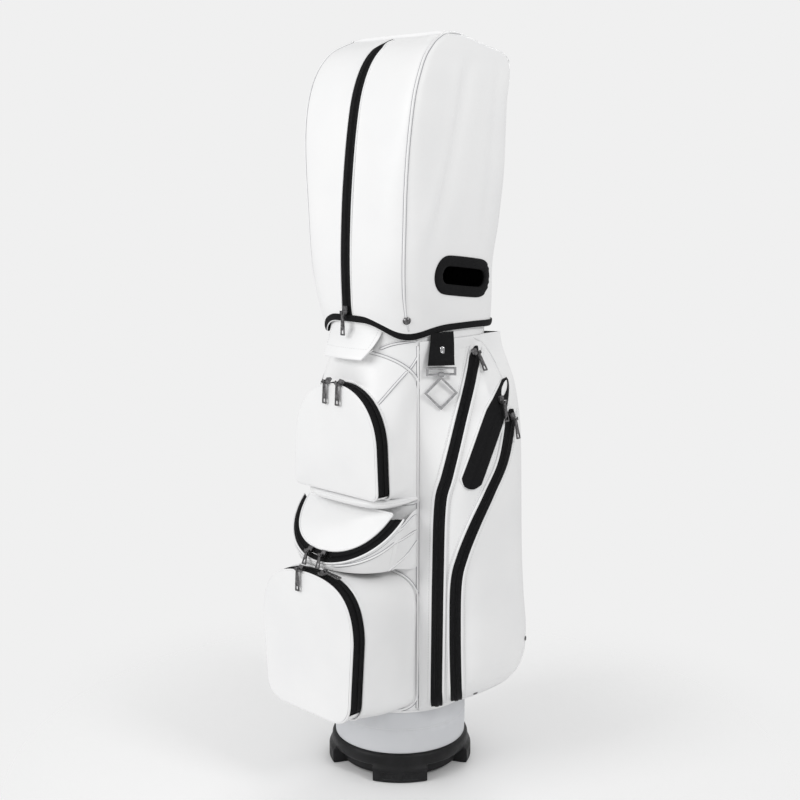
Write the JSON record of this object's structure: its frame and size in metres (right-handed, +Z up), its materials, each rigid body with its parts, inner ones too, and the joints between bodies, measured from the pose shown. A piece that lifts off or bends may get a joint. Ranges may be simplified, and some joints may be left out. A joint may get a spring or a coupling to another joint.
{
  "type": "golf staff bag",
  "caption": "White leather golf staff bag on a moulded base, with a zipped rain hood, zipped front and side pockets, lift handles and a towel ring.",
  "frame": {"origin": "middle of the underside of the base", "axes": "+Z up along the bag, -Y towards the front pockets, +X towards the side with two long zips"},
  "size_m": [0.41, 0.4257, 1.351],
  "materials": {
    "white_leather": "smooth coated leather, satin",
    "zip_tape": "ribbed coil zip on woven tape",
    "black_webbing": "woven webbing",
    "soft_lining": "brushed lining and foam rubber",
    "black_plastic": "moulded, fine texture",
    "stay_metal": "drawn",
    "bright_chrome": "polished",
    "dark_nickel": "dark nickel plate"
  },
  "bodies": {
    "bag": {"base_cup": "black_plastic", "base_collar": "white_leather", "body_skin": "white_leather", "rim_cuff": "soft_lining", "top_divider": "black_plastic", "well_partition_front": "soft_lining", "well_partition_rear": "soft_lining", "stay_rod_front": "stay_metal", "stay_rod_right": "stay_metal", "stay_rod_left": "stay_metal", "upper_pocket_case": "white_leather", "upper_pocket_tape": "zip_tape", "lower_pocket_case": "white_leather", "lower_pocket_tape": "zip_tape", "middle_pocket_tape": "zip_tape", "middle_pocket_case": "white_leather", "right_side_pocket": "white_leather", "left_side_pocket": "white_leather", "long_zip_tape": "zip_tape", "curved_zip_tape": "zip_tape", "slant_zip_tape": "zip_tape", "left_zip_tape": "zip_tape", "front_lift_handle": "white_leather", "rear_grab_handle": "black_webbing", "spine_pad": "white_leather", "webbing_tab": "black_webbing", "tab_stud": "bright_chrome"},
    "hood": {"hood_shell": "white_leather", "hood_binding": "black_webbing", "hood_zip_tape": "zip_tape", "hood_window_trim": "soft_lining", "hood_snap": "dark_nickel"},
    "upper_door": {"upper_pocket_door": "white_leather"},
    "middle_lid": {"middle_pocket_lid": "white_leather"},
    "lower_door": {"lower_pocket_door": "white_leather"},
    "hood_slider": {"hood_slider": "dark_nickel"},
    "hood_puller": {"hood_puller": "dark_nickel"},
    "upper_left_slider": {"upper_left_slider": "dark_nickel"},
    "upper_left_puller": {"upper_left_puller": "dark_nickel"},
    "upper_right_slider": {"upper_right_slider": "dark_nickel"},
    "upper_right_puller": {"upper_right_puller": "dark_nickel"},
    "middle_left_slider": {"middle_left_slider": "dark_nickel"},
    "middle_left_puller": {"middle_left_puller": "dark_nickel"},
    "middle_right_slider": {"middle_right_slider": "dark_nickel"},
    "middle_right_puller": {"middle_right_puller": "dark_nickel"},
    "lower_left_slider": {"lower_left_slider": "dark_nickel"},
    "lower_left_puller": {"lower_left_puller": "dark_nickel"},
    "lower_right_slider": {"lower_right_slider": "dark_nickel"},
    "lower_right_puller": {"lower_right_puller": "dark_nickel"},
    "long_slider": {"long_slider": "dark_nickel"},
    "long_puller": {"long_puller": "dark_nickel"},
    "curved_slider": {"curved_slider": "dark_nickel"},
    "curved_puller": {"curved_puller": "dark_nickel"},
    "slant_slider": {"slant_slider": "dark_nickel"},
    "slant_puller": {"slant_puller": "dark_nickel"},
    "left_slider": {"left_slider": "dark_nickel"},
    "left_puller": {"left_puller": "dark_nickel"},
    "hanger_loop": {"hanger_loop": "bright_chrome"},
    "towel_ring": {"towel_ring": "bright_chrome"}
  },
  "joints": [
    {"name": "hood_lift", "type": "slide", "parent": "bag", "child": "hood", "axis": [0, 0, 1], "range_m": [0, 0.16]},
    {"name": "upper_door_hinge", "type": "hinge", "parent": "bag", "child": "upper_door", "pos_m": [0, -0.1645, 0.55], "axis": [1, 0, 0], "range_deg": [0, 90]},
    {"name": "middle_lid_hinge", "type": "hinge", "parent": "bag", "child": "middle_lid", "pos_m": [0, -0.12694, 0.51994], "axis": [-1, 0, 0], "range_deg": [0, 38]},
    {"name": "lower_door_hinge", "type": "hinge", "parent": "bag", "child": "lower_door", "pos_m": [0, -0.2355, 0.156], "axis": [1, 0, 0], "range_deg": [0, 88]},
    {"name": "hood_slider_run", "type": "slide", "parent": "hood", "child": "hood_slider", "axis": [0, -0.0499, 0.9988], "range_m": [0, 0.1]},
    {"name": "hood_puller_swing", "type": "hinge", "parent": "hood_slider", "child": "hood_puller", "pos_m": [0, -0.14299, 0.868], "axis": [-1, 0, 0], "range_deg": [0, 100]},
    {"name": "upper_left_slider_run", "type": "hinge", "parent": "upper_door", "child": "upper_left_slider", "pos_m": [0, -0.166, 0.622], "axis": [0, -1, 0], "range_deg": [0, 35]},
    {"name": "upper_left_puller_swing", "type": "hinge", "parent": "upper_left_slider", "child": "upper_left_puller", "pos_m": [-0.01657, -0.17298, 0.74789], "axis": [-1, 0, 0], "range_deg": [0, 100]},
    {"name": "upper_right_slider_run", "type": "hinge", "parent": "upper_door", "child": "upper_right_slider", "pos_m": [0, -0.166, 0.622], "axis": [0, 1, 0], "range_deg": [0, 35]},
    {"name": "upper_right_puller_swing", "type": "hinge", "parent": "upper_right_slider", "child": "upper_right_puller", "pos_m": [0.01657, -0.17298, 0.74789], "axis": [-1, 0, 0], "range_deg": [0, 100]},
    {"name": "middle_left_slider_run", "type": "slide", "parent": "middle_lid", "child": "middle_left_slider", "axis": [-1, 0, 0], "range_m": [0, 0.025]},
    {"name": "middle_left_puller_swing", "type": "hinge", "parent": "middle_left_slider", "child": "middle_left_puller", "pos_m": [-0.022, -0.21408, 0.44414], "axis": [-1, 0, 0], "range_deg": [0, 75]},
    {"name": "middle_right_slider_run", "type": "slide", "parent": "middle_lid", "child": "middle_right_slider", "axis": [1, 0, 0], "range_m": [0, 0.012]},
    {"name": "middle_right_puller_swing", "type": "hinge", "parent": "middle_right_slider", "child": "middle_right_puller", "pos_m": [0.014, -0.21408, 0.44414], "axis": [-1, 0, 0], "range_deg": [0, 75]},
    {"name": "lower_left_slider_run", "type": "slide", "parent": "lower_door", "child": "lower_left_slider", "axis": [-1, 0, 0], "range_m": [0, 0.025]},
    {"name": "lower_left_puller_swing", "type": "hinge", "parent": "lower_left_slider", "child": "lower_left_puller", "pos_m": [-0.014, -0.24398, 0.41898], "axis": [-1, 0, 0], "range_deg": [0, 100]},
    {"name": "lower_right_slider_run", "type": "slide", "parent": "lower_door", "child": "lower_right_slider", "axis": [1, 0, 0], "range_m": [0, 0.02]},
    {"name": "lower_right_puller_swing", "type": "hinge", "parent": "lower_right_slider", "child": "lower_right_puller", "pos_m": [0.04, -0.227, 0.4241], "axis": [0, -1, 0], "range_deg": [0, 150]},
    {"name": "long_slider_run", "type": "hinge", "parent": "bag", "child": "long_slider", "pos_m": [0.0668, 0.08754, 0.67715], "axis": [0.6964, 0.6734, -0.2481], "range_deg": [0, 21.92]},
    {"name": "long_puller_swing", "type": "hinge", "parent": "long_slider", "child": "long_puller", "pos_m": [0.14954, 0.04941, 0.79395], "axis": [-0.0011, -1, 0], "range_deg": [0, 100]},
    {"name": "curved_slider_run", "type": "hinge", "parent": "bag", "child": "curved_slider", "pos_m": [0.09575, 0.17709, 0.5893], "axis": [0.7273, 0.6653, -0.1688], "range_deg": [0, 19.99]},
    {"name": "curved_puller_swing", "type": "hinge", "parent": "curved_slider", "child": "curved_puller", "pos_m": [0.20653, 0.08724, 0.67469], "axis": [0.0921, -0.9957, 0], "range_deg": [0, 100]},
    {"name": "slant_slider_run", "type": "hinge", "parent": "bag", "child": "slant_slider", "pos_m": [0.07128, 0.13759, 0.59903], "axis": [0.6989, 0.6185, -0.359], "range_deg": [0, 20.14]},
    {"name": "slant_puller_swing", "type": "hinge", "parent": "slant_slider", "child": "slant_puller", "pos_m": [0.20039, 0.06307, 0.70859], "axis": [0.0121, -0.9999, 0], "range_deg": [0, 100]},
    {"name": "left_slider_run", "type": "hinge", "parent": "bag", "child": "left_slider", "pos_m": [0.47558, 0.04, 0.59271], "axis": [0, -1, 0], "range_deg": [0, 8.85]},
    {"name": "left_puller_swing", "type": "hinge", "parent": "left_slider", "child": "left_puller", "pos_m": [-0.17532, 0.04, 0.68417], "axis": [0, 1, 0], "range_deg": [0, 100]},
    {"name": "hanger_loop_swing", "type": "hinge", "parent": "bag", "child": "hanger_loop", "pos_m": [0.1395, -0.0375, 0.773], "axis": [-0.5736, -0.8192, 0], "range_deg": [0, 60]},
    {"name": "towel_ring_swing", "type": "hinge", "parent": "hanger_loop", "child": "towel_ring", "pos_m": [0.1395, -0.0375, 0.762], "axis": [-0.5736, -0.8192, 0], "range_deg": [0, 80]}
  ]
}
